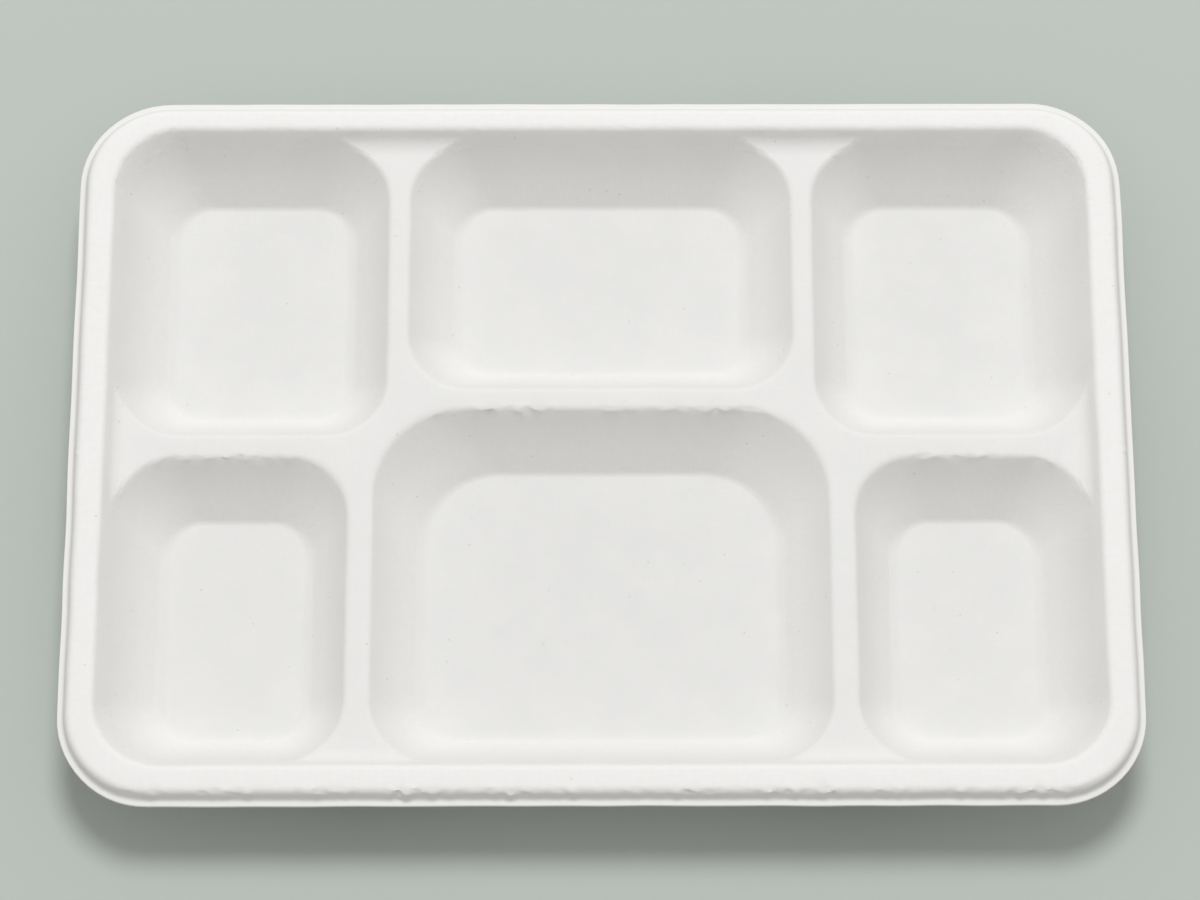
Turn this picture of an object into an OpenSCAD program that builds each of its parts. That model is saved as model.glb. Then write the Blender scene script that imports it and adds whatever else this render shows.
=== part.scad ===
// Six-compartment meal tray, moulded from plant fibre as one thin shell.
// Millimetres, +Z up, the long side along X. The diner sits on the -Y side.
// The origin is under the tray's middle, on the plane that its six pocket floors stand on.

/* [Tray] */
// Width over the lip, left to right
tray_w = 320.5; // [300:0.5:350]
// Depth over the lip, near to far
tray_d = 224.5; // [215:0.5:245]
// Radius of the lip's four corners
lip_corner_r = 27.5; // [25:0.5:32]
// Thickness of the moulded fibre
wall_t = 0.8; // [0.6:0.1:1.1]
// Depth of the pocket floors below the rim's flat top
pocket_depth = 25.7; // [22:0.1:29]

/* [Rim] */
// Flat lip outside the skirt, on the left and right sides
lip_side_w = 1.7; // [1.4:0.1:3]
// Flat lip outside the skirt, on the near and far sides
lip_end_w = 2.1; // [1.4:0.1:3]
// How far the lip lies below the rim's flat top
lip_drop = 3.7; // [3.6:0.1:4.5]
// Slant of the skirt between lip and rim, in degrees from upright
skirt_draft = 18; // [14:1:22]
// Rim band from skirt to perimeter wall, on the left and right sides
rim_side_w = 7.6; // [6.5:0.1:9]
// Rim band from skirt to perimeter wall, on the near side
rim_near_w = 8; // [6.5:0.1:9]
// Rim band from skirt to perimeter wall, on the far side
rim_far_w = 6.4; // [6:0.1:9]
// Rounding of the rim's inner and outer edges
rim_edge_r = 2.8; // [1.6:0.1:2.8]
// Rounding in the foot of the skirt
lip_foot_r = 1.4; // [0.6:0.1:1.6]

/* [Dividers] */
// How far the dividers' flat tops lie below the rim's flat top
land_drop = 5.6; // [5.2:0.1:7]
// Rounding where the perimeter wall meets the dividers' tops
land_foot_r = 6.5; // [4:0.1:7]
// Middle of each far divider, from the tray's middle
far_divider_x = 61.8; // [56:0.1:68]
// Flat top of each far divider
far_divider_w = 5.8; // [5:0.1:10]
// Middle of each near divider, from the tray's middle
near_divider_x = 72.4; // [66:0.1:78]
// Flat top of each near divider
near_divider_w = 7; // [5:0.1:10]
// Middle of the dividers between the side pockets, from the tray's middle
side_divider_y = 0.2; // [-4:0.1:4]
// Flat top of the dividers between the side pockets
side_divider_w = 6.8; // [5.5:0.1:9]
// Middle of the divider behind the main pocket, from the tray's middle
main_divider_y = 15.4; // [10:0.1:20]
// Flat top of the divider behind the main pocket
main_divider_w = 6.2; // [5:0.1:8]
// Rounding of the pockets' mouths along the dividers
mouth_edge_r = 2.4; // [1.2:0.1:2.6]

/* [Pockets] */
// Slant of the perimeter wall on the left and right sides, in degrees from upright
outer_draft = 33.7; // [28:0.1:35]
// Slant of the perimeter wall on the near side, in degrees from upright
near_draft = 29.9; // [27:0.1:34]
// Slant of the perimeter wall on the far side, in degrees from upright
far_draft = 32.3; // [27:0.1:34]
// Slant of the side pockets' walls along the dividers, and of the far middle pocket's near wall
side_draft = 31.5; // [26:0.1:35]
// Slant of the middle pockets' other walls, and of the near side pockets' far walls
middle_draft = 35.5; // [28:0.1:37]
// Corner radius of the rim's inner edge and of the pockets, at the rim's height
pocket_top_r = 20; // [17:0.5:22]
// Corner radius of the pockets where wall and floor would meet
pocket_floor_r = 11.8; // [9:0.1:14]
// Far corners of the main pocket, radius at the rim's height
main_top_r = 28.6; // [24:0.1:34]
// Far corners of the main pocket, radius where wall and floor would meet
main_floor_r = 23.5; // [18:0.1:28]
// Rounding between the pockets' walls and floors
floor_foot_r = 5; // [3.5:0.1:7]
// The same at the pockets' far walls
far_foot_r = 3.2; // [2:0.1:5]

/* [Hidden] */
fibre_colour = [0.93, 0.92, 0.89];
tray_h = pocket_depth + wall_t;
// Steps in the quarter turn of a corner, in a rounded foot and in a rounded edge
corner_steps = 8;
foot_steps = 4;
edge_steps = 3;
// How far the forms that shape the shell reach past it
over = 1;
// The perimeter wall above the dividers stands this far inside the pockets' walls, with corners
// this much rounder, so that no two of the forms that are cut away share a plane
clear = 0.06;
rounder = 0.3;

// Every outline lies at a depth below the rim's flat top. Its four walls come in the order
// left, right, near, far. A wall is [its place at the rim's height, its slope], and the slope
// is how far it leans inward for each millimetre down.
outer_slope = tan(outer_draft);
near_slope = tan(near_draft);
far_slope = tan(far_draft);
side_slope = tan(side_draft);
middle_slope = tan(middle_draft);
skirt_slope = tan(skirt_draft);
skirt_run = lip_drop * skirt_slope;
rim_x = tray_w / 2 - lip_side_w - skirt_run - rim_side_w;
rim_near_y = -tray_d / 2 + lip_end_w + skirt_run + rim_near_w;
rim_far_y = tray_d / 2 - lip_end_w - skirt_run - rim_far_w;
left_wall = [-rim_x, outer_slope];
right_wall = [rim_x, outer_slope];
near_wall = [rim_near_y, near_slope];
far_wall = [rim_far_y, far_slope];

// A wall that comes up to the edge of a divider's flat top. Inward is 1 or -1.
function divider_wall(land_edge, inward, slope) = [land_edge - inward * slope * land_drop, slope];

far_divider_outer = far_divider_x + far_divider_w / 2;
far_divider_inner = far_divider_x - far_divider_w / 2;
near_divider_outer = near_divider_x + near_divider_w / 2;
near_divider_inner = near_divider_x - near_divider_w / 2;
side_divider_far = side_divider_y + side_divider_w / 2;
side_divider_near = side_divider_y - side_divider_w / 2;
main_divider_far = main_divider_y + main_divider_w / 2;
main_divider_near = main_divider_y - main_divider_w / 2;

// A pocket is [its walls, its corner radii at the rim's height, its corner radii at the floor,
// which walls stand along a divider]. Corners run near left, near right, far right, far left.
small_top = [for (corner = [0:3]) pocket_top_r];
small_floor = [for (corner = [0:3]) pocket_floor_r];
floor_feet = [floor_foot_r, floor_foot_r, floor_foot_r, far_foot_r];
land_feet = [for (wall = [0:3]) land_foot_r];
perimeter = [[left_wall, right_wall, near_wall, far_wall],
    [for (r = small_top) r + rounder], [for (r = small_floor) r + rounder]];
far_side_pocket = [
    [left_wall, divider_wall(-far_divider_outer, -1, side_slope),
        divider_wall(side_divider_far, 1, side_slope), far_wall],
    small_top, small_floor, [false, true, true, false]];
near_side_pocket = [
    [left_wall, divider_wall(-near_divider_outer, -1, side_slope),
        near_wall, divider_wall(side_divider_near, -1, middle_slope)],
    small_top, small_floor, [false, true, false, true]];
far_middle_pocket = [
    [divider_wall(-far_divider_inner, 1, middle_slope), divider_wall(far_divider_inner, -1, middle_slope),
        divider_wall(main_divider_far, 1, side_slope), far_wall],
    small_top, small_floor, [true, true, true, false]];
main_pocket = [
    [divider_wall(-near_divider_inner, 1, middle_slope), divider_wall(near_divider_inner, -1, middle_slope),
        near_wall, divider_wall(main_divider_near, -1, middle_slope)],
    [pocket_top_r, pocket_top_r, main_top_r, main_top_r],
    [pocket_floor_r, pocket_floor_r, main_floor_r, main_floor_r], [true, true, false, true]];

// The next three say how far inward of its place at the rim's height a wall stands at a depth.
// Grow moves it square to itself into the fibre, so wall_t there gives the shell's underside.
function wall_angle(slope) = atan(1 / slope);
function straight_inset(slope, depth, grow) = slope * depth - grow / sin(wall_angle(slope));

// A wall that runs into a flat bottom with a rounded foot.
function foot_start(slope, bottom, foot, grow) = bottom - foot + (foot + grow) * cos(wall_angle(slope));
function foot_inset(slope, depth, bottom, foot, grow) =
    depth < foot_start(slope, bottom, foot, grow) ? straight_inset(slope, depth, grow) :
    slope * bottom + foot * tan(wall_angle(slope) / 2)
        - sqrt(max(0, pow(foot + grow, 2) - pow(depth - bottom + foot, 2)));

// A wall that rises into a flat top with a rounded edge.
function edge_end(slope, top, edge, grow) = top + edge - (edge - grow) * cos(wall_angle(slope));
function edge_inset(slope, depth, top, edge, grow) =
    depth > edge_end(slope, top, edge, grow) ? straight_inset(slope, depth, grow) :
    slope * top - edge * tan(wall_angle(slope) / 2)
        + sqrt(max(0, pow(edge - grow, 2) - pow(top + edge - max(depth, top + grow), 2)));

// Depths from a foot's start down to the flat bottom, and from an edge's end up to the flat top.
function foot_depths(slope, bottom, foot, grow) =
    [for (i = [foot_steps:-1:0])
        bottom - foot + (foot + grow) * cos(wall_angle(slope) * i / foot_steps)];
function edge_depths(slope, top, edge, grow) =
    [for (i = [edge_steps:-1:0])
        top + edge - (edge - grow) * cos(wall_angle(slope) * i / edge_steps)];

function corner_points(x, y, r, start) =
    [for (i = [0:corner_steps]) [x + r * cos(start + 90 * i / corner_steps),
        y + r * sin(start + 90 * i / corner_steps)]];

// A rectangle from x0, y0 to x1, y1 with its own radius at each corner, laid at a depth.
function outline(x0, x1, y0, y1, r, depth) =
    [for (p = concat(corner_points(x0 + r[0], y0 + r[0], r[0], 180),
            corner_points(x1 - r[1], y0 + r[1], r[1], 270),
            corner_points(x1 - r[2], y1 - r[2], r[2], 0),
            corner_points(x0 + r[3], y1 - r[3], r[3], 90)))
        [p[0], p[1], tray_h - depth]];

// The outline of a pocket whose walls stand in by the four insets at a depth. What the outer
// walls stand in beyond their plain slope is taken off the corner radii too, as an offset does.
function pocket_outline(pocket, insets, extra, depth) =
    outline(pocket[0][0][0] + insets[0], pocket[0][1][0] - insets[1],
        pocket[0][2][0] + insets[2], pocket[0][3][0] - insets[3],
        [for (i = [0:3]) pocket[1][i] + (pocket[2][i] - pocket[1][i]) * depth / pocket_depth - extra],
        depth);

// The outline where each wall has a foot of its own radius.
function foot_outline(pocket, depth, bottom, feet, grow, aside) =
    pocket_outline(pocket,
        [for (i = [0:3]) foot_inset(pocket[0][i][1], depth, bottom, feet[i], grow) + aside],
        foot_inset(outer_slope, depth, bottom, feet[0], grow) + aside - outer_slope * depth, depth);

// The rim's rounded inner edge, at the depth of the rounding and laid at a depth of its own.
function rim_edge_outline(edge_depth, depth, grow, aside) =
    let (insets = [for (wall = perimeter[0]) edge_inset(wall[1], edge_depth, 0, rim_edge_r, grow) + aside])
    pocket_outline(perimeter, insets, insets[0] - outer_slope * depth, depth);

// The rounded mouth: only the walls along a divider open out, and the others keep their slope.
function mouth_outline(pocket, depth, grow) =
    pocket_outline(pocket, [for (i = [0:3]) pocket[3][i]
            ? edge_inset(pocket[0][i][1], depth, land_drop, mouth_edge_r, grow)
            : straight_inset(pocket[0][i][1], depth, grow)],
        straight_inset(outer_slope, depth, grow) - outer_slope * depth, depth);

// A solid through outlines that are given from the lowest to the highest.
module loft(outlines) {
    count = len(outlines[0]);
    last = len(outlines) - 1;
    polyhedron(
        points = [for (ring = outlines) for (point = ring) point],
        faces = concat(
            [[for (i = [0:count - 1]) i]],
            [for (k = [0:last - 1]) for (i = [0:count - 1])
                [k * count + i, (k + 1) * count + i, (k + 1) * count + (i + 1) % count,
                    k * count + (i + 1) % count]],
            [[for (i = [count - 1:-1:0]) last * count + i]]),
        convexity = 6);
}

function reversed(list) = [for (i = [len(list) - 1:-1:0]) list[i]];

// The space in one pocket, from its floor through its rounded mouth and up past the rim.
module pocket_space(pocket, grow) {
    foot = reversed(foot_depths(side_slope, pocket_depth, floor_foot_r, grow));
    mouth = edge_depths(side_slope, land_drop, mouth_edge_r, grow);
    loft(concat(
        [for (depth = foot) foot_outline(pocket, depth, pocket_depth, floor_feet, grow, 0)],
        [for (depth = mouth) mouth_outline(pocket, depth, grow)],
        [foot_outline(pocket, -over, pocket_depth, floor_feet, grow, 0)]));
}

// The space above the dividers, inside the perimeter wall and up through the rim.
module well_space(grow) {
    foot = reversed(foot_depths(outer_slope, land_drop, land_foot_r, grow));
    edge = edge_depths(outer_slope, 0, rim_edge_r, grow);
    loft(concat(
        [for (depth = foot) foot_outline(perimeter, depth, land_drop, land_feet, grow, clear)],
        [rim_edge_outline(edge[0], edge[0], grow, clear)],
        [for (i = [1:edge_steps - 1]) rim_edge_outline(edge[i], edge[i], grow, 0)],
        [for (depth = [grow - clear, -over]) rim_edge_outline(grow, depth, grow, 0)]));
}

// The lip's outline, stepped in by an amount on the sides and another on the near and far sides.
function lip_outline(side_in, end_in, depth) =
    let (r = lip_corner_r - (side_in + end_in) / 2)
    outline(-tray_w / 2 + side_in, tray_w / 2 - side_in, -tray_d / 2 + end_in, tray_d / 2 - end_in,
        [r, r, r, r], depth);

// The tray's outside, from below its floors up over the lip, the skirt and the rim's outer edge.
module outside_form(grow) {
    angle = wall_angle(skirt_slope);
    past = grow > 0 ? -over : 0;
    bottom = tray_h + (grow > 0 ? 2 : 1) * over;
    foot_in = -lip_foot_r * tan(angle / 2);
    edge_in = skirt_run + rim_edge_r * tan(angle / 2);
    foot = [for (i = [0:edge_steps]) let (turn = angle * i / edge_steps)
        [foot_in + (lip_foot_r + grow) * sin(turn), lip_drop - lip_foot_r + (lip_foot_r + grow) * cos(turn)]];
    edge = [for (i = [edge_steps:-1:0]) let (turn = angle * i / edge_steps)
        [edge_in - (rim_edge_r - grow) * sin(turn), rim_edge_r - (rim_edge_r - grow) * cos(turn)]];
    loft(concat(
        [lip_outline(past, past, bottom), lip_outline(past, past, lip_drop + grow)],
        [for (p = concat(foot, edge)) lip_outline(lip_side_w + p[0], lip_end_w + p[0], p[1])]));
}

// Everything below a skin that lies grow under the tray's upper skin.
module below_skin(grow) {
    difference() {
        outside_form(grow);
        well_space(grow);
        pocket_space(far_middle_pocket, grow);
        pocket_space(main_pocket, grow);
        for (side = [0, 1])
            mirror([side, 0, 0]) {
                pocket_space(far_side_pocket, grow);
                pocket_space(near_side_pocket, grow);
            }
    }
}

module tray() {
    color(fibre_colour)
        difference() {
            below_skin(0);
            below_skin(wall_t);
        }
}

tray();
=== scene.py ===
"""Six-compartment meal tray of moulded plant fibre: its finely modelled shell, stage, light and camera.

Sizes are in millimetres in the part's own frame: the diner sits on the -Y side, +Z is up, and the
origin is under the tray's middle, on the plane of the pocket floors.
"""
import math

import bpy
import numpy as np
from mathutils import Matrix, Vector
from mathutils.geometry import delaunay_2d_cdt


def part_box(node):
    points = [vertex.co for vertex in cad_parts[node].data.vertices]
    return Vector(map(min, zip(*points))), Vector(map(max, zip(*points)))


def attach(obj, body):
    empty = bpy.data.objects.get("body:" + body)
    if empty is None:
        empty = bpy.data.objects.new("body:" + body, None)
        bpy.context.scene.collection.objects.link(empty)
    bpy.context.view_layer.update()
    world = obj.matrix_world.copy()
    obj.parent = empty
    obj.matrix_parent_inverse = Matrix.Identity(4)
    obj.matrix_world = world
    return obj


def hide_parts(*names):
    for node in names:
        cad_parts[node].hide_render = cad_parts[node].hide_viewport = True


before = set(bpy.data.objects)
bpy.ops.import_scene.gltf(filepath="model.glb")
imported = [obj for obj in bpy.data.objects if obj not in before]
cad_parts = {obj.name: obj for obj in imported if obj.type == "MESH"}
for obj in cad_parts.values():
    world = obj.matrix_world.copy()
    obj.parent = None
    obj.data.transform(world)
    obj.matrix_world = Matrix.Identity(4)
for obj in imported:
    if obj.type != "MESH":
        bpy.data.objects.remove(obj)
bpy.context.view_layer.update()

MM = 0.001

# The tray's overall size comes from the frame
LOW, HIGH = (Vector(corner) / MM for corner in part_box("tray"))
TRAY_W = HIGH.x - LOW.x
TRAY_D = HIGH.y - LOW.y
TRAY_H = HIGH.z - LOW.z

# Shell
LIP_CORNER_R = 27.5
WALL_T = 0.8
POCKET_DEPTH = TRAY_H - WALL_T
LIP_TRIM_R = 0.3

# Rim
LIP_SIDE_W = 1.7
LIP_END_W = 2.1
LIP_DROP = 3.7
SKIRT_DRAFT = 18
RIM_SIDE_W = 7.6
RIM_NEAR_W = 8
RIM_FAR_W = 6.4
RIM_EDGE_R = 2.8
LIP_FOOT_R = 1.4

# Dividers
LAND_DROP = 5.6
LAND_FOOT_R = 6.5
FAR_DIVIDER_X = 61.8
FAR_DIVIDER_W = 5.8
NEAR_DIVIDER_X = 72.4
NEAR_DIVIDER_W = 7
SIDE_DIVIDER_Y = 0.2
SIDE_DIVIDER_W = 6.8
MAIN_DIVIDER_Y = 15.4
MAIN_DIVIDER_W = 6.2
MOUTH_EDGE_R = 2.4

# Pockets
OUTER_DRAFT = 33.7
NEAR_DRAFT = 29.9
FAR_DRAFT = 32.3
SIDE_DRAFT = 31.5
MIDDLE_DRAFT = 35.5
POCKET_TOP_R = 20
POCKET_FLOOR_R = 11.8
MAIN_TOP_R = 28.6
MAIN_FLOOR_R = 23.5
FLOOR_FOOT_R = 5
FAR_FOOT_R = 3.2

# What the far walls' foot loses, so that each floor's far edge is as crisp as in the photograph
FAR_FOOT_TRIM = 1.2

# How far above the rim the pockets' walls start
OVER = 1.0

# Mesh: spacing of points along walls, along the top edges, on flats and at the creases, how much
# coarser the under skin is, and steps in the roundings
ALONG = 2.1
ALONG_EDGE = 0.9
FILL = 2.3
CREASE_FILL = 0.55
UNDER_COARSER = 1.9
CORNER_STEPS = 14
FOOT_STEPS = 9
EDGE_STEPS = 5
LEDGE_STEPS = 7
WALL_STEP = 2.2

# How far points on flats stray from their pattern and keep clear of the lines, in spacings
STRAY = 0.2
CLEAR = 0.55

# The crease's points reach this much further than its rounding
CREASE_REACH = 1.3

# Lengths that count as nothing and as one point, the decimals of a depth, the halvings that find a
# line's end, and the seeds of the random draws
TOUCH = 1e-6
WELD = 1e-4
DEPTH_DIGITS = 6
HALVINGS = 24
FILL_SEED = 7
UNEVEN_SEED = 11

# Edges of the mesh that turn by more than this many degrees are shaded sharp
SHARP_TURN = 38

# Small unevenness of the moulded sheet: how far it reaches and how long its waves are
SWAY = 0.12
SWAY_LENGTH = 28.0
RAGGED = 0.6
RAGGED_LENGTH = 1.9
RAGGED_PATCH = 22.0
HEAVE = 0.08
HEAVE_LENGTH = 24.0
DIMPLE = 0.018
DIMPLE_LENGTH = 5.0

# Waves added up in each random field, and their least and greatest length beside the named one
WAVES = 24
WAVE_PACES = (0.7, 1.6)

# Ragged edges: how much longer than wide their slivers are, how much of the stray goes up and down,
# their share on other edges, the usual and the least share in a patch, how wide their band is in
# depth, and what is added to that in plan
RAGGED_STRETCH = 2.6
RAGGED_LIFT = 0.3
RAGGED_REST = 0.15
PATCH_USUAL = 0.65
PATCH_LEAST = 0.15
RAGGED_BAND = 1.6
RAGGED_MARGIN = 1

# Where the middle of the ragged band lies: its depth below the dividers' top and below the rim's
# top, and how far in from the skirt's top
MOUTH_BAND_DROP = 0.7
RIM_BAND_DROP = 0.9
RIM_BAND_IN = 0.6


def slope(draft):
    """How far a wall leans inward for each millimetre down."""
    return math.tan(math.radians(draft))


OUTER_SLOPE = slope(OUTER_DRAFT)
NEAR_SLOPE = slope(NEAR_DRAFT)
FAR_SLOPE = slope(FAR_DRAFT)
SIDE_SLOPE = slope(SIDE_DRAFT)
MIDDLE_SLOPE = slope(MIDDLE_DRAFT)
SKIRT_SLOPE = slope(SKIRT_DRAFT)
SKIRT_RUN = LIP_DROP * SKIRT_SLOPE
RIM_X = TRAY_W / 2 - LIP_SIDE_W - SKIRT_RUN - RIM_SIDE_W
RIM_NEAR_Y = -TRAY_D / 2 + LIP_END_W + SKIRT_RUN + RIM_NEAR_W
RIM_FAR_Y = TRAY_D / 2 - LIP_END_W - SKIRT_RUN - RIM_FAR_W

# The perimeter's left, right, near and far walls: where each stands at the rim's height, and its slope
OUTER_WALLS = ((-RIM_X, OUTER_SLOPE), (RIM_X, OUTER_SLOPE),
               (RIM_NEAR_Y, NEAR_SLOPE), (RIM_FAR_Y, FAR_SLOPE))


def divider_wall(land_edge, inward, lean):
    """A wall's place at the rim's height and its slope, where it comes up to a divider's edge."""
    return land_edge - inward * lean * LAND_DROP, lean


def pocket(left, right, near, far, far_top_r=POCKET_TOP_R, far_floor_r=POCKET_FLOOR_R):
    """Walls in the order left, right, near, far, and corner radii from near left round to far left."""
    return {
        "walls": (left, right, near, far),
        "top_r": np.array([POCKET_TOP_R, POCKET_TOP_R, far_top_r, far_top_r]),
        "floor_r": np.array([POCKET_FLOOR_R, POCKET_FLOOR_R, far_floor_r, far_floor_r]),
        "at_divider": [wall not in OUTER_WALLS for wall in (left, right, near, far)],
    }


def pockets():
    """The six pockets and, last, the perimeter wall above the dividers."""
    far_edges = FAR_DIVIDER_X + FAR_DIVIDER_W / 2, FAR_DIVIDER_X - FAR_DIVIDER_W / 2
    near_edges = NEAR_DIVIDER_X + NEAR_DIVIDER_W / 2, NEAR_DIVIDER_X - NEAR_DIVIDER_W / 2
    side_far = divider_wall(SIDE_DIVIDER_Y + SIDE_DIVIDER_W / 2, 1, SIDE_SLOPE)
    side_near = divider_wall(SIDE_DIVIDER_Y - SIDE_DIVIDER_W / 2, -1, MIDDLE_SLOPE)
    main_far = divider_wall(MAIN_DIVIDER_Y + MAIN_DIVIDER_W / 2, 1, SIDE_SLOPE)
    main_near = divider_wall(MAIN_DIVIDER_Y - MAIN_DIVIDER_W / 2, -1, MIDDLE_SLOPE)
    left, right, near, far = OUTER_WALLS
    found = [
        pocket(left, divider_wall(-far_edges[0], -1, SIDE_SLOPE), side_far, far),
        pocket(divider_wall(far_edges[0], 1, SIDE_SLOPE), right, side_far, far),
        pocket(left, divider_wall(-near_edges[0], -1, SIDE_SLOPE), near, side_near),
        pocket(divider_wall(near_edges[0], 1, SIDE_SLOPE), right, near, side_near),
        pocket(divider_wall(-far_edges[1], 1, MIDDLE_SLOPE), divider_wall(far_edges[1], -1, MIDDLE_SLOPE),
               main_far, far),
        pocket(divider_wall(-near_edges[1], 1, MIDDLE_SLOPE), divider_wall(near_edges[1], -1, MIDDLE_SLOPE),
               near, main_near, MAIN_TOP_R, MAIN_FLOOR_R),
    ]
    return found, pocket(*OUTER_WALLS)


# Rounding of the pockets' edges: its depth for each millimetre of radius and squared change of slope,
# the most it reaches, the step for finding that change, the least change that needs closer points,
# and over what height above the dividers' flat top it takes over from the mouths' own rounding
EDGE_SHARE = 0.27
EDGE_REACH = 1.8
STEP_REACH = 0.2
LEAST_CHANGE = 0.25
FLAT_BAND = 0.5

# Foot roundings of the left, right, near and far walls
FLOOR_FEET = (FLOOR_FOOT_R, FLOOR_FOOT_R, FLOOR_FOOT_R, FAR_FOOT_R - FAR_FOOT_TRIM)
LAND_FEET = (LAND_FOOT_R,) * 4


def straight_inset(lean, depth, grow):
    """How far in a wall stands at a depth. Grow moves it square to itself into the fibre."""
    return lean * depth - grow / math.sin(math.atan2(1, lean))


def foot_inset(lean, depth, bottom, foot, grow):
    """The same for a wall that runs into a flat bottom with a rounded foot."""
    angle = math.atan2(1, lean)
    if depth < bottom - foot + (foot + grow) * math.cos(angle):
        return straight_inset(lean, depth, grow)
    rise = max(0, (foot + grow) ** 2 - (depth - bottom + foot) ** 2)
    return lean * bottom + foot * math.tan(angle / 2) - math.sqrt(rise)


def edge_inset(lean, depth, top, edge, grow):
    """The same for a wall that rises into a flat top with a rounded edge."""
    angle = math.atan2(1, lean)
    if depth > top + edge - (edge - grow) * math.cos(angle):
        return straight_inset(lean, depth, grow)
    rise = max(0, (edge - grow) ** 2 - (top + edge - max(depth, top + grow)) ** 2)
    return lean * top - edge * math.tan(angle / 2) + math.sqrt(rise)


def foot_depths(lean, bottom, foot, grow, steps):
    """Depths from a foot's start down to the flat bottom."""
    turn = np.linspace(math.atan2(1, lean), 0, steps + 1)
    return list(bottom - foot + (foot + grow) * np.cos(turn))


def edge_depths(lean, top, edge, grow, steps):
    """Depths from a flat top down to where the wall's straight part starts."""
    turn = np.linspace(0, math.atan2(1, lean), steps + 1)
    return list(top + edge - (edge - grow) * np.cos(turn))


def wall_depths(start, end):
    """Depths between two roundings, without the ends."""
    steps = max(1, round((end - start) / WALL_STEP))
    return list(np.linspace(start, end, steps + 1)[1:-1])


def ring(form, insets, extra, depth):
    """An outline: its four sides, its corner radii and its depth."""
    (left, _), (right, _), (near, _), (far, _) = form["walls"]
    radii = form["top_r"] + (form["floor_r"] - form["top_r"]) * depth / POCKET_DEPTH - extra
    sides = np.array([left + insets[0], right - insets[1], near + insets[2], far - insets[3]])
    return sides, radii, depth


def foot_ring(form, depth, bottom, feet, grow):
    insets = [foot_inset(lean, depth, bottom, foot, grow)
              for (_, lean), foot in zip(form["walls"], feet)]
    extra = foot_inset(OUTER_SLOPE, depth, bottom, feet[0], grow) - OUTER_SLOPE * depth
    return ring(form, insets, extra, depth)


def mouth_ring(form, depth, grow):
    """Only the walls along a divider open out, and the others keep their slope."""
    insets = [edge_inset(lean, depth, LAND_DROP, MOUTH_EDGE_R, grow) if opens
              else straight_inset(lean, depth, grow)
              for (_, lean), opens in zip(form["walls"], form["at_divider"])]
    return ring(form, insets, straight_inset(OUTER_SLOPE, depth, grow) - OUTER_SLOPE * depth, depth)


def rim_edge_ring(form, depth, grow):
    insets = [edge_inset(lean, depth, 0, RIM_EDGE_R, grow) for _, lean in form["walls"]]
    return ring(form, insets, insets[0] - OUTER_SLOPE * depth, depth)


def between(first, last, depth):
    """The outline at a depth on the straight run between two others."""
    share = (depth - first[2]) / (last[2] - first[2])
    return tuple(a + (b - a) * share for a, b in zip(first, last))


def pocket_rings(form, grow, ledge):
    """Outlines from above the rim to the floor. Ledge holds the depths of the perimeter's own rings."""
    floor = foot_depths(SIDE_SLOPE, POCKET_DEPTH, FLOOR_FOOT_R, grow, FOOT_STEPS)
    above = foot_ring(form, -OVER, POCKET_DEPTH, FLOOR_FEET, grow)
    edge = edge_depths(SIDE_SLOPE, LAND_DROP, MOUTH_EDGE_R, grow, EDGE_STEPS)
    mouth = [mouth_ring(form, depth, grow) for depth in edge]
    upper = [between(above, mouth[0], depth) for depth in ledge if depth < LAND_DROP + grow - TOUCH]
    lower = [foot_ring(form, depth, POCKET_DEPTH, FLOOR_FEET, grow)
             for depth in wall_depths(edge[-1], floor[0]) + floor]
    return [above] + upper + mouth + lower


def ledge_depths(grow):
    """Depths of the perimeter wall's rings between the rim's edge and the dividers' flat tops."""
    foot = foot_depths(OUTER_SLOPE, LAND_DROP, LAND_FOOT_R, grow, LEDGE_STEPS)
    edge_end = edge_depths(OUTER_SLOPE, 0, RIM_EDGE_R, grow, EDGE_STEPS)[-1]
    return [edge_end] + foot


def well_rings(form, grow):
    edge = edge_depths(OUTER_SLOPE, 0, RIM_EDGE_R, grow, EDGE_STEPS)
    return ([rim_edge_ring(form, depth, grow) for depth in edge]
            + [foot_ring(form, depth, LAND_DROP, LAND_FEET, grow) for depth in ledge_depths(grow)[1:]])


def lip_ring(side_in, end_in, depth):
    sides = np.array([side_in - TRAY_W / 2, TRAY_W / 2 - side_in, end_in - TRAY_D / 2, TRAY_D / 2 - end_in])
    return sides, np.full(4, LIP_CORNER_R - (side_in + end_in) / 2), depth


def outside_rings(grow):
    """Outlines from the lip's edge in over the skirt to the rim's flat top."""
    angle = math.atan2(1, SKIRT_SLOPE)
    foot_in = -LIP_FOOT_R * math.tan(angle / 2)
    edge_in = SKIRT_RUN + RIM_EDGE_R * math.tan(angle / 2)
    steps = np.linspace(0, angle, EDGE_STEPS + 1)
    foot = [(foot_in + (LIP_FOOT_R + grow) * math.sin(turn),
             LIP_DROP - LIP_FOOT_R + (LIP_FOOT_R + grow) * math.cos(turn)) for turn in steps]
    edge = [(edge_in - (RIM_EDGE_R - grow) * math.sin(turn),
             RIM_EDGE_R - (RIM_EDGE_R - grow) * math.cos(turn)) for turn in steps[::-1]]
    trim = 0 if grow else LIP_TRIM_R
    rings = [lip_ring(0, 0, LIP_DROP + (grow or trim))]
    if trim:
        rings += [lip_ring(trim * (1 - math.cos(turn)), trim * (1 - math.cos(turn)),
                           LIP_DROP + trim * (1 - math.sin(turn))) for turn in np.radians((30, 60, 90))]
    rings.append(lip_ring((LIP_SIDE_W + foot[0][0]) / 2, (LIP_END_W + foot[0][0]) / 2, LIP_DROP + grow))
    return rings + [lip_ring(LIP_SIDE_W + inward, LIP_END_W + inward, depth)
                    for inward, depth in foot + edge]


def level(outline):
    """An outline's depth, the same for outlines of different forms that lie level."""
    return round(outline[2], DEPTH_DIGITS)


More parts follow.
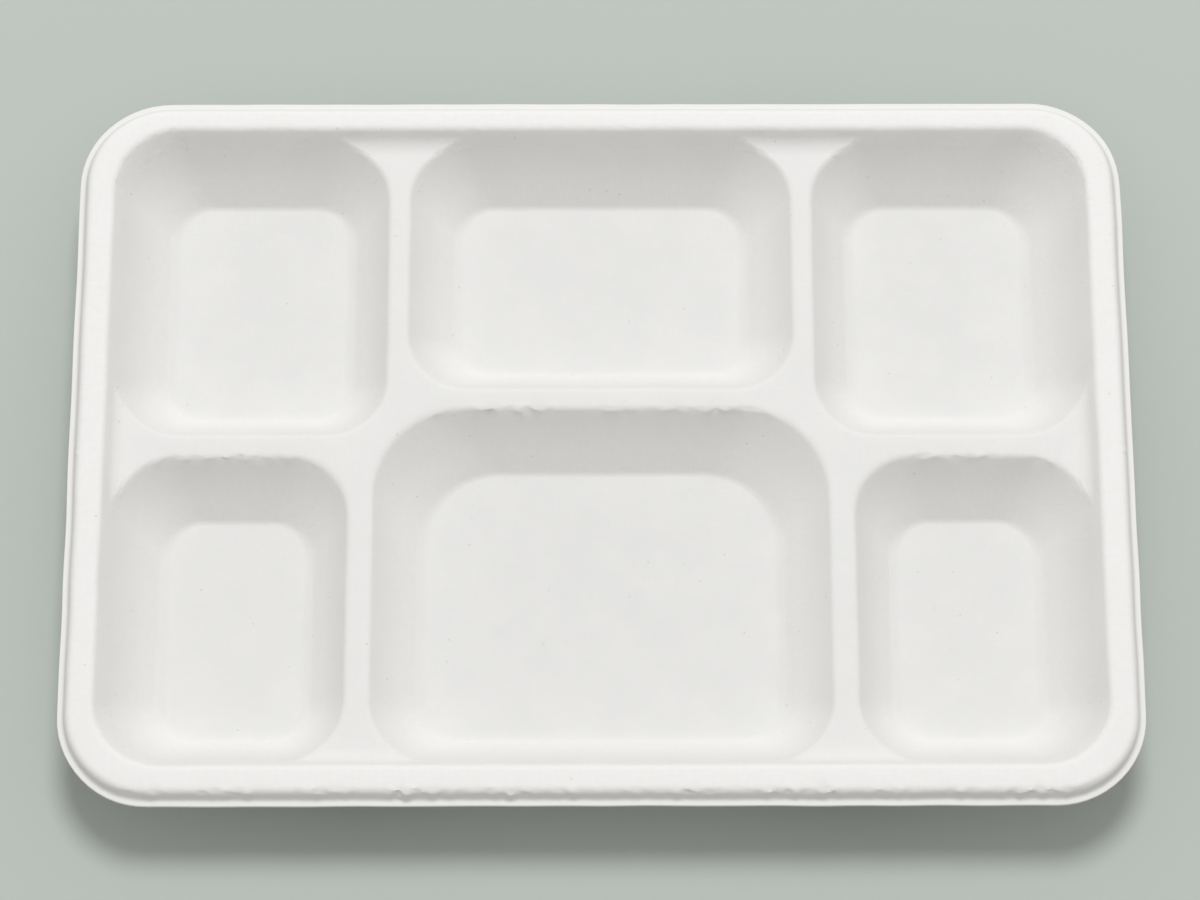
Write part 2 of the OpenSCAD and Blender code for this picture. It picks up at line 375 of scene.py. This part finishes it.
def distance_inside(outline, points):
    """Signed distance from points to an outline, positive inside it."""
    (x0, x1, y0, y1), radii, _ = outline
    offset = points - ((x0 + x1) / 2, (y0 + y1) / 2)
    right, far = offset[:, 0] > 0, offset[:, 1] > 0
    r = np.where(far, np.where(right, radii[2], radii[3]), np.where(right, radii[1], radii[0]))
    q = np.abs(offset) - ((x1 - x0) / 2, (y1 - y0) / 2) + r[:, None]
    return r - np.minimum(q.max(axis=1), 0) - np.hypot(*np.maximum(q, 0).T)


def depth_at(rings, points):
    """Depth of the surface through the outlines, which lie one inside the other, at points in plan."""
    depth = np.full(len(points), float(rings[0][2]))
    inside = distance_inside(rings[0], points)
    live = np.flatnonzero(inside > 0)
    last = inside[live]
    for before, after in zip(rings, rings[1:]):
        now = distance_inside(after, points[live])
        on = now < 0
        share = last[on] / (last[on] - now[on])
        depth[live[on]] = before[2] + (after[2] - before[2]) * share
        live, last = live[~on], now[~on]
    depth[live] = rings[-1][2]
    return depth


def ring_points(outline, counts):
    """Points round an outline from its near left corner, with so many steps on each straight side."""
    (x0, x1, y0, y1), radii, _ = outline
    centres = [(x0 + radii[0], y0 + radii[0]), (x1 - radii[1], y0 + radii[1]),
               (x1 - radii[2], y1 - radii[2]), (x0 + radii[3], y1 - radii[3])]
    arcs = []
    for corner, (x, y) in enumerate(centres):
        turn = np.radians(180 + 90 * corner + np.linspace(0, 90, CORNER_STEPS + 1))
        arcs.append(np.stack([x + radii[corner] * np.cos(turn), y + radii[corner] * np.sin(turn)], axis=1))
    parts = []
    for corner in range(4):
        start, end = arcs[corner][-1], arcs[(corner + 1) % 4][0]
        share = np.linspace(0, 1, counts[corner] + 1)[1:-1, None]
        parts += [arcs[corner], start + (end - start) * share]
    return np.concatenate(parts)


def side_counts(outline, along=ALONG):
    """Steps on the straight near, right, far and left sides."""
    (x0, x1, y0, y1), radii, _ = outline
    lengths = (x1 - x0 - radii[0] - radii[1], y1 - y0 - radii[1] - radii[2],
               x1 - x0 - radii[2] - radii[3], y1 - y0 - radii[3] - radii[0])
    return [max(2, round(length / along)) for length in lengths]


def closed_line(points):
    return np.concatenate([points, points[:1]])


def clipped(points, cutters, limit):
    """The stretches of a closed outline that lie outside every cutter, each ending on the crease."""
    def clear(where):
        return np.all([distance_inside(cutter, where) < limit for cutter in cutters], axis=0)
    if not cutters:
        return [closed_line(points)]
    keep = clear(points)
    if keep.all():
        return [closed_line(points)]
    following = np.roll(points, -1, axis=0)
    flips = np.flatnonzero(keep != np.roll(keep, -1))
    low = np.where(keep[flips, None], points[flips], following[flips])
    high = np.where(keep[flips, None], following[flips], points[flips])
    for _ in range(HALVINGS):
        middle = (low + high) / 2
        good = clear(middle)[:, None]
        low, high = np.where(good, middle, low), np.where(good, high, middle)
    ends = dict(zip(flips, low))
    stretches = []
    for flip in flips[~keep[flips]]:
        stretch = [ends[flip]]
        at = (flip + 1) % len(points)
        while keep[at]:
            stretch.append(points[at])
            if at in ends:
                stretch.append(ends[at])
            at = (at + 1) % len(points)
        stretches.append(np.array(stretch))
    return stretches


def spread_out(gap):
    """Points over the whole plan in a triangular pattern."""
    nx, ny = int(TRAY_W / gap), int(TRAY_D / (gap * math.sqrt(0.75)))
    column, row = np.meshgrid(np.arange(nx), np.arange(ny))
    x = (column + 0.5 * (row % 2) - nx / 2) * gap
    y = (row - ny / 2) * gap * math.sqrt(0.75)
    return np.stack([x.ravel(), y.ravel()], axis=1)


class Skin:
    """One face of the shell as a surface over the plan."""

    def __init__(self, grow):
        forms, perimeter = pockets()
        ledge = ledge_depths(grow)
        self.outside = outside_rings(grow)
        self.well = well_rings(perimeter, grow)
        self.pockets = [pocket_rings(form, grow, ledge) for form in forms]
        self.sharp_pockets = [[foot_ring(form, rings[0][2], POCKET_DEPTH, FLOOR_FEET, grow)]
                              + [foot_ring(form, outline[2], POCKET_DEPTH, FLOOR_FEET, grow)
                                 for outline in rings if outline[2] > 0]
                              for form, rings in zip(forms, self.pockets)]
        self.land = LAND_DROP + grow
        self.edge = MOUTH_EDGE_R - grow
        self.coarser = UNDER_COARSER if grow else 1

    def well_depth(self, points):
        return np.maximum(depth_at(self.outside, points), depth_at(self.well, points))

    def sharp_depth(self, points):
        """Depth of the pockets with sharp edges."""
        return np.max([depth_at(rings, points) for rings in self.sharp_pockets], axis=0)

    def step(self, points):
        """How far the sharp pockets lie below the rest, and how fast that changes along the plan."""
        def gap(where):
            return self.sharp_depth(where) - self.well_depth(where)
        ahead = np.array([[STEP_REACH, 0], [0, STEP_REACH]])
        change = [(gap(points + move) - gap(points - move)) / (2 * STEP_REACH) for move in ahead]
        return gap(points), np.hypot(*change)

    def depth(self, points):
        """On the dividers the pockets' rounded mouths hold, and where a corner climbs the perimeter
        wall, its edge is rounded along the crease and runs out where the two walls become one."""
        well, sharp = self.well_depth(points), self.sharp_depth(points)
        deepest = np.maximum(well, sharp)
        near = np.flatnonzero((abs(sharp - well) < EDGE_REACH) & (well > 0))
        gap, change = self.step(points[near])
        reach = EDGE_SHARE * self.edge * change ** 2 + TOUCH
        overlap = np.maximum(reach - abs(gap), 0) / reach
        blended = deepest.copy()
        blended[near] += reach * overlap ** 2 / 4
        mouths = np.max([depth_at(rings, points) for rings in self.pockets], axis=0)
        flat = np.clip((well - self.land) / FLAT_BAND + 1, 0, 1)
        return blended + flat * (np.maximum(well, mouths) - blended)

    def lines(self):
        """Every line that the mesh follows, the outermost first."""
        along, along_edge = ALONG * self.coarser, ALONG_EDGE * self.coarser
        found = [closed_line(ring_points(self.outside[0], side_counts(self.outside[0])))]
        for outline in self.outside[1:]:
            counts = side_counts(outline, along_edge if outline[2] < LIP_DROP / 2 else along)
            found.append(closed_line(ring_points(outline, counts)))
        levels = {level(outline): outline for outline in self.well[EDGE_STEPS:]}
        for index, outline in enumerate(self.well):
            counts = side_counts(self.well[0], along_edge if index <= EDGE_STEPS else along)
            same = [other for rings in self.pockets for other in rings if level(other) == level(outline)]
            found += clipped(ring_points(outline, counts), same, -TOUCH)
        for rings in self.pockets:
            for outline in rings[1:]:
                at_mouth = 0 <= outline[2] - self.land < self.edge
                counts = side_counts(rings[-1], along_edge if at_mouth else along)
                meets = level(outline) in levels and outline[2] < self.land - TOUCH
                same = [levels[level(outline)]] if meets else []
                found += clipped(ring_points(outline, counts), same, TOUCH)
        return found

    def crease_fill(self):
        """Closer points where a pocket's corner climbs the perimeter wall."""
        points = spread_out(CREASE_FILL * self.coarser)
        inside = distance_inside(self.well[0], points)
        points = points[(inside > 0) & (distance_inside(self.well[-1], points) < 0)]
        gap, change = self.step(points)
        return points[(abs(gap) < CREASE_REACH * EDGE_REACH) & (change > LEAST_CHANGE)]

    def fill(self, rng):
        """Points spread over the rim's top, the dividers and the floors, clear of the lines."""
        fill = FILL * self.coarser
        points = spread_out(fill)
        points += rng.uniform(-STRAY, STRAY, points.shape) * fill
        gap = CLEAR * fill
        in_well = distance_inside(self.well[-1], points)
        in_rim = distance_inside(self.outside[-1], points)
        rim = (in_rim > gap) & (distance_inside(self.well[0], points) < -gap)
        mouths = [next(r for r in rings if r[2] > self.land - TOUCH) for rings in self.pockets]
        in_mouth = np.max([distance_inside(outline, points) for outline in mouths], axis=0)
        in_floor = np.max([distance_inside(rings[-1], points) for rings in self.pockets], axis=0)
        spread = points[rim | ((in_well > gap) & (in_mouth < -gap)) | (in_floor > gap)]
        return np.concatenate([spread, self.crease_fill()])

    def mesh(self, rng):
        """Points and triangles, and the points on the lip's edge in order."""
        verts, edges = [], []
        for line in self.lines():
            closed = np.array_equal(line[0], line[-1])
            points = line[:-1] if closed else line
            base = len(verts)
            count = len(points)
            verts += [Vector(p) for p in points]
            edges += [(base + i, base + (i + 1) % count) for i in range(count if closed else count - 1)]
        rim_count = len(ring_points(self.outside[0], side_counts(self.outside[0])))
        verts += [Vector(p) for p in self.fill(rng)]
        points, _, faces, origins, _, _ = delaunay_2d_cdt(verts, edges, [], 0, WELD)
        points = np.array([tuple(p) for p in points])
        place = {first: index for index, sources in enumerate(origins) for first in sources}
        edge = [place[index] for index in range(rim_count)]
        z = TRAY_H - self.depth(points)
        return np.column_stack([points, z]), np.array([tuple(f) for f in faces]), edge


def waves(points, length, rng):
    """A smooth random field of about -1 to 1 whose waves are about so long."""
    turn = rng.uniform(0, 2 * math.pi, WAVES)
    pace = 2 * math.pi / (length * rng.uniform(*WAVE_PACES, WAVES))
    way = np.stack([pace * np.cos(turn), pace * np.sin(turn)])
    phase = points @ way + rng.uniform(0, 2 * math.pi, WAVES)
    return np.cos(phase).mean(axis=1) * math.sqrt(WAVES) / 2


def raggedness(points):
    """How far an edge may stray: most along the near pockets' far edges and the rim's near outer edge."""
    x, y = abs(points[:, 0]), points[:, 1]
    depth = TRAY_H - points[:, 2]
    main_edge = MAIN_DIVIDER_Y - MAIN_DIVIDER_W / 2
    side_edge = SIDE_DIVIDER_Y - SIDE_DIVIDER_W / 2
    divider_edge = np.where(x < NEAR_DIVIDER_X, main_edge, side_edge)
    at_divider = abs(y - divider_edge) < RAGGED_BAND + RAGGED_MARGIN
    rim_edge = -TRAY_D / 2 + LIP_END_W + SKIRT_RUN
    at_rim = abs(y - rim_edge - RIM_BAND_IN) < RAGGED_BAND + RAGGED_MARGIN
    most = np.where(at_divider | at_rim, RAGGED, RAGGED * RAGGED_REST)
    to_edge = np.minimum(abs(depth - LAND_DROP - MOUTH_BAND_DROP), abs(depth - RIM_BAND_DROP))
    return most * np.maximum(1 - (to_edge / RAGGED_BAND) ** 2, 0)


def uneven(points):
    """The sheet as moulded: its edges sway and are a little ragged, and its flats heave."""
    rng = np.random.default_rng(UNEVEN_SEED)
    plan = points[:, :2]
    patches = np.clip(PATCH_USUAL + waves(plan, RAGGED_PATCH, rng), PATCH_LEAST, 1)
    ragged = raggedness(points) * patches
    slivers = plan / (RAGGED_STRETCH, 1)
    moved = points.copy()
    for axis in (0, 1):
        moved[:, axis] += SWAY * waves(plan, SWAY_LENGTH, rng) + ragged * waves(slivers, RAGGED_LENGTH, rng)
    moved[:, 2] += HEAVE * waves(plan, HEAVE_LENGTH, rng) + DIMPLE * waves(plan, DIMPLE_LENGTH, rng)
    moved[:, 2] += RAGGED_LIFT * ragged * waves(slivers, RAGGED_LENGTH, rng)
    return moved


def shell_mesh(name):
    """The upper and under skins, joined round the lip's edge."""
    rng = np.random.default_rng(FILL_SEED)
    upper, upper_faces, upper_edge = Skin(0).mesh(rng)
    under, under_faces, under_edge = Skin(WALL_T).mesh(rng)
    start = len(upper)
    under_edge = [index + start for index in under_edge]
    count = len(upper_edge)
    band = [(upper_edge[i], under_edge[i], under_edge[(i + 1) % count], upper_edge[(i + 1) % count])
            for i in range(count)]
    points = uneven(np.concatenate([upper, under]))
    faces = [tuple(f) for f in upper_faces] + [tuple(f[::-1] + start) for f in under_faces] + band
    mesh = bpy.data.meshes.new(name)
    mesh.from_pydata((points * MM).tolist(), [], [tuple(int(i) for i in f) for f in faces])
    mesh.validate()
    mesh.update()
    mesh.shade_smooth()
    mesh.set_sharp_from_angle(angle=math.radians(SHARP_TURN))
    return mesh


class Nodes:
    """Short calls for building a material's node tree."""

    def __init__(self, material):
        self.tree = material.node_tree
        self.shader = self.tree.nodes["Principled BSDF"]

    def put(self, socket, value):
        if isinstance(value, bpy.types.NodeSocket):
            self.tree.links.new(value, socket)
        else:
            socket.default_value = value

    def node(self, kind, inputs, output=0, **settings):
        node = self.tree.nodes.new(kind)
        for name, value in settings.items():
            setattr(node, name, value)
        for name, value in inputs.items():
            self.put(node.inputs[name], value)
        return node.outputs[output]

    def math(self, operation, a, b=0.0):
        return self.node("ShaderNodeMath", {0: a, 1: b}, operation=operation)

    def noise(self, place, scale, detail, stretch=(1, 1, 1), turn=0.0):
        """Noise from 0 to 1 whose features are about 1/scale metres wide."""
        place = self.node("ShaderNodeMapping", {"Vector": place, "Scale": stretch, "Rotation": (0, 0, turn)})
        return self.node("ShaderNodeTexNoise", {"Vector": place, "Scale": scale, "Detail": detail})

    def spread(self, value, low, high, start=0.0, end=1.0):
        """Low to high becomes start to end, held at both."""
        return self.node("ShaderNodeMapRange", {"Value": value, "From Min": low, "From Max": high,
                                                "To Min": start, "To Max": end})

    def mix(self, share, first, second):
        node = self.tree.nodes.new("ShaderNodeMix")
        node.data_type = "RGBA"
        self.put(node.inputs[0], share)
        self.put(node.inputs[6], first)
        self.put(node.inputs[7], second)
        return node.outputs[2]


# Fibre: colours where the sheet lies flat at the rim and at the floors, low on the walls, near the walls'
# top, and of a speck. The floors' colour is painted shade of the deep pockets and also tints the fibres; the
# colour near the walls' top is painted shade
RIM_COLOUR = (0.885, 0.880, 0.876, 1)
FLOOR_SHADE_AND_FIBRE_COLOUR = (0.762, 0.761, 0.757, 1)
WALL_COLOUR = (0.865, 0.857, 0.844, 1)
WALL_TOP_SHADE_COLOUR = (0.785, 0.777, 0.760, 1)
SPECK_COLOUR = (0.60, 0.57, 0.51, 1)

# How many features of each kind lie in a metre, and how much longer than wide the fibres are
CLOUDS = 70
FIBRES = 260
FIBRE_STRETCH = 3.5
GRAINS = 1500
SPECKS = 170
PITS = 120

# How strongly each shows in the colour, and the share of places that hold a speck
CLOUD_SHARE = 0.30
FIBRE_SHARE = 0.22
SPECK_SHARE = 0.6
SPECK_CHANCE = 0.55

# The noise values between which clouds and fibres come in, and the distances, in cells, between
# which a speck and a pit fade out
CLOUD_SPREAD = (0.35, 0.75)
FIBRE_SPREAD = (0.40, 0.70)
SPECK_EDGE = (0.03, 0.075)
PIT_EDGE = (0.04, 0.11)

# Roughness where fibres are few and many, the noise values of both, and how strongly it shines
ROUGHNESS = (0.78, 0.95)
ROUGH_SPREAD = (0.35, 0.65)
SHINE = 0.25

# Relief of the surface: its height in metres, and the parts of it beside the fibres'
RELIEF = 0.00008
GRAIN_RELIEF = 0.25
SPECK_RELIEF = 0.3
PIT_RELIEF = 0.5

# Heights in metres between which the flats turn from the floors' painted shade to the rim's colour, most of
# it near the top, and between which the walls darken towards their top with painted shade. A surface is a
# wall up to the first share of flatness, and flat from the second on
FLAT_SHADE_RISE = (0.003, 0.0265)
FLAT_SHADE_RISE_POWER = 3.0
WALL_SHADE_RISE = (0.008, 0.021)
FLATNESS = (0.62, 0.95)


def fibre_material():
    material = bpy.data.materials.new("moulded_fibre")
    material.use_nodes = True
    nodes = Nodes(material)
    place = nodes.node("ShaderNodeTexCoord", {}, output="Object")
    height = nodes.node("ShaderNodeSeparateXYZ", {0: place}, output=2)
    normal = nodes.node("ShaderNodeNewGeometry", {}, output="Normal")
    upright = nodes.math("ABSOLUTE", nodes.node("ShaderNodeSeparateXYZ", {0: normal}, output=2))

    cloud = nodes.noise(place, CLOUDS, 3)
    streaks = nodes.noise(place, FIBRES, 4, stretch=(1, FIBRE_STRETCH, 1), turn=0.5)
    crossing = nodes.noise(place, FIBRES, 4, stretch=(FIBRE_STRETCH, 1, 1), turn=0.2)
    grain = nodes.noise(place, GRAINS, 2)
    fibres = nodes.math("MULTIPLY", nodes.math("ADD", streaks, crossing), 0.5)

    cells = nodes.node("ShaderNodeTexVoronoi", {"Vector": place, "Scale": SPECKS})
    cell_colour = nodes.node("ShaderNodeTexVoronoi", {"Vector": place, "Scale": SPECKS}, output=1)
    chance = nodes.node("ShaderNodeSeparateXYZ", {0: cell_colour})
    holds_speck = nodes.math("LESS_THAN", chance, SPECK_CHANCE)
    speck = nodes.math("MULTIPLY", nodes.spread(cells, *SPECK_EDGE, 1, 0), holds_speck)
    pits = nodes.node("ShaderNodeTexVoronoi", {"Vector": place, "Scale": PITS})
    pit = nodes.spread(pits, *PIT_EDGE, 1, 0)

    # Painted shade: the flats darken with depth below the rim, most of the change just under the rim's top
    share = nodes.math("POWER", nodes.spread(height, *FLAT_SHADE_RISE), FLAT_SHADE_RISE_POWER)
    flat = nodes.mix(share, FLOOR_SHADE_AND_FIBRE_COLOUR, RIM_COLOUR)
    # Painted shade: the walls darken towards their top
    wall = nodes.mix(nodes.spread(height, *WALL_SHADE_RISE), WALL_COLOUR, WALL_TOP_SHADE_COLOUR)
    sheet = nodes.mix(nodes.spread(upright, *FLATNESS), wall, flat)
    cloudy = nodes.mix(nodes.spread(cloud, *CLOUD_SPREAD, 0, CLOUD_SHARE), sheet, WALL_COLOUR)
    fibrous = nodes.mix(nodes.spread(fibres, *FIBRE_SPREAD, 0, FIBRE_SHARE), cloudy, FLOOR_SHADE_AND_FIBRE_COLOUR)
    specked = nodes.mix(nodes.math("MULTIPLY", speck, SPECK_SHARE), fibrous, SPECK_COLOUR)
    nodes.put(nodes.shader.inputs["Base Color"], specked)
    nodes.put(nodes.shader.inputs["Roughness"], nodes.spread(fibres, *ROUGH_SPREAD, *ROUGHNESS))
    nodes.shader.inputs["Specular IOR Level"].default_value = SHINE

    relief = nodes.math("ADD", fibres, nodes.math("MULTIPLY", grain, GRAIN_RELIEF))
    relief = nodes.math("ADD", relief, nodes.math("MULTIPLY", speck, SPECK_RELIEF))
    relief = nodes.math("SUBTRACT", relief, nodes.math("MULTIPLY", pit, PIT_RELIEF))
    bump = nodes.node("ShaderNodeBump", {"Height": relief, "Strength": 1.0, "Distance": RELIEF})
    nodes.put(nodes.shader.inputs["Normal"], bump)
    return material


def build_tray():
    piece = bpy.data.objects.new("tray_shell", shell_mesh("tray_shell"))
    bpy.context.scene.collection.objects.link(piece)
    piece.data.materials.append(fibre_material())
    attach(piece, "root")
    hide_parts("tray")


# Stage: its size and drop in metres, its colour and its roughness
STAGE_SIZE = 6
STAGE_DROP = 0.0002
STAGE_COLOUR = (0.51, 0.55, 0.52, 1)
STAGE_ROUGHNESS = 0.9


def build_stage():
    bpy.ops.mesh.primitive_plane_add(size=STAGE_SIZE, location=(0, 0, -STAGE_DROP))
    floor = bpy.context.object
    floor.name = "floor"
    material = bpy.data.materials.new("floor")
    material.use_nodes = True
    shader = material.node_tree.nodes["Principled BSDF"]
    shader.inputs["Base Color"].default_value = STAGE_COLOUR
    shader.inputs["Roughness"].default_value = STAGE_ROUGHNESS
    floor.data.materials.append(material)


# Camera: the photograph's view, fitted to the tray's outline and shading
VIEW_ELEVATION = 70.27
VIEW_AZIMUTH = -0.41
VIEW_ROLL = 0.30
VIEW_DISTANCE = 1207.3
VIEW_TARGET = (-0.34, -3.25)
VIEW_LENS = 120.7
VIEW_SENSOR = 36


def build_camera():
    elevation, azimuth, roll = (math.radians(a) for a in (VIEW_ELEVATION, VIEW_AZIMUTH, VIEW_ROLL))
    back = Vector((math.sin(azimuth) * math.cos(elevation), -math.cos(azimuth) * math.cos(elevation),
                   math.sin(elevation)))
    right = Vector((math.cos(azimuth), math.sin(azimuth), 0))
    up = back.cross(right)
    right, up = (math.cos(roll) * right + math.sin(roll) * up,
                 math.cos(roll) * up - math.sin(roll) * right)
    data = bpy.data.cameras.new("camera")
    data.lens = VIEW_LENS
    data.sensor_width = VIEW_SENSOR
    camera = bpy.data.objects.new("camera", data)
    place = (Vector((*VIEW_TARGET, TRAY_H)) + VIEW_DISTANCE * back) * MM
    camera.matrix_world = Matrix.Translation(place) @ Matrix((right, up, back)).transposed().to_4x4()
    bpy.context.scene.collection.objects.link(camera)
    bpy.context.scene.camera = camera


# Light: one soft disc above the far side, fitted to the photograph's shading, and an even world
KEY_PLACE = (0.09, 1.27, 2.72)
KEY_SIZE = 1.1
KEY_POWER = 47
KEY_COLOUR = (0.99, 1, 1)
WORLD_COLOUR = (1, 0.985, 0.96, 1)
WORLD_STRENGTH = 0.54


def build_lights():
    data = bpy.data.lights.new("key", "AREA")
    data.color = KEY_COLOUR
    data.shape = "DISK"
    data.size = KEY_SIZE
    data.energy = KEY_POWER
    light = bpy.data.objects.new("key", data)
    light.location = KEY_PLACE
    light.rotation_euler = (-Vector(KEY_PLACE)).to_track_quat("-Z", "Y").to_euler()
    bpy.context.scene.collection.objects.link(light)
    world = bpy.data.worlds.new("studio")
    world.use_nodes = True
    background = world.node_tree.nodes["Background"]
    background.inputs["Color"].default_value = WORLD_COLOUR
    background.inputs["Strength"].default_value = WORLD_STRENGTH
    bpy.context.scene.world = world


build_tray()
build_stage()
build_camera()
build_lights()
bpy.context.scene.view_settings.view_transform = "Standard"
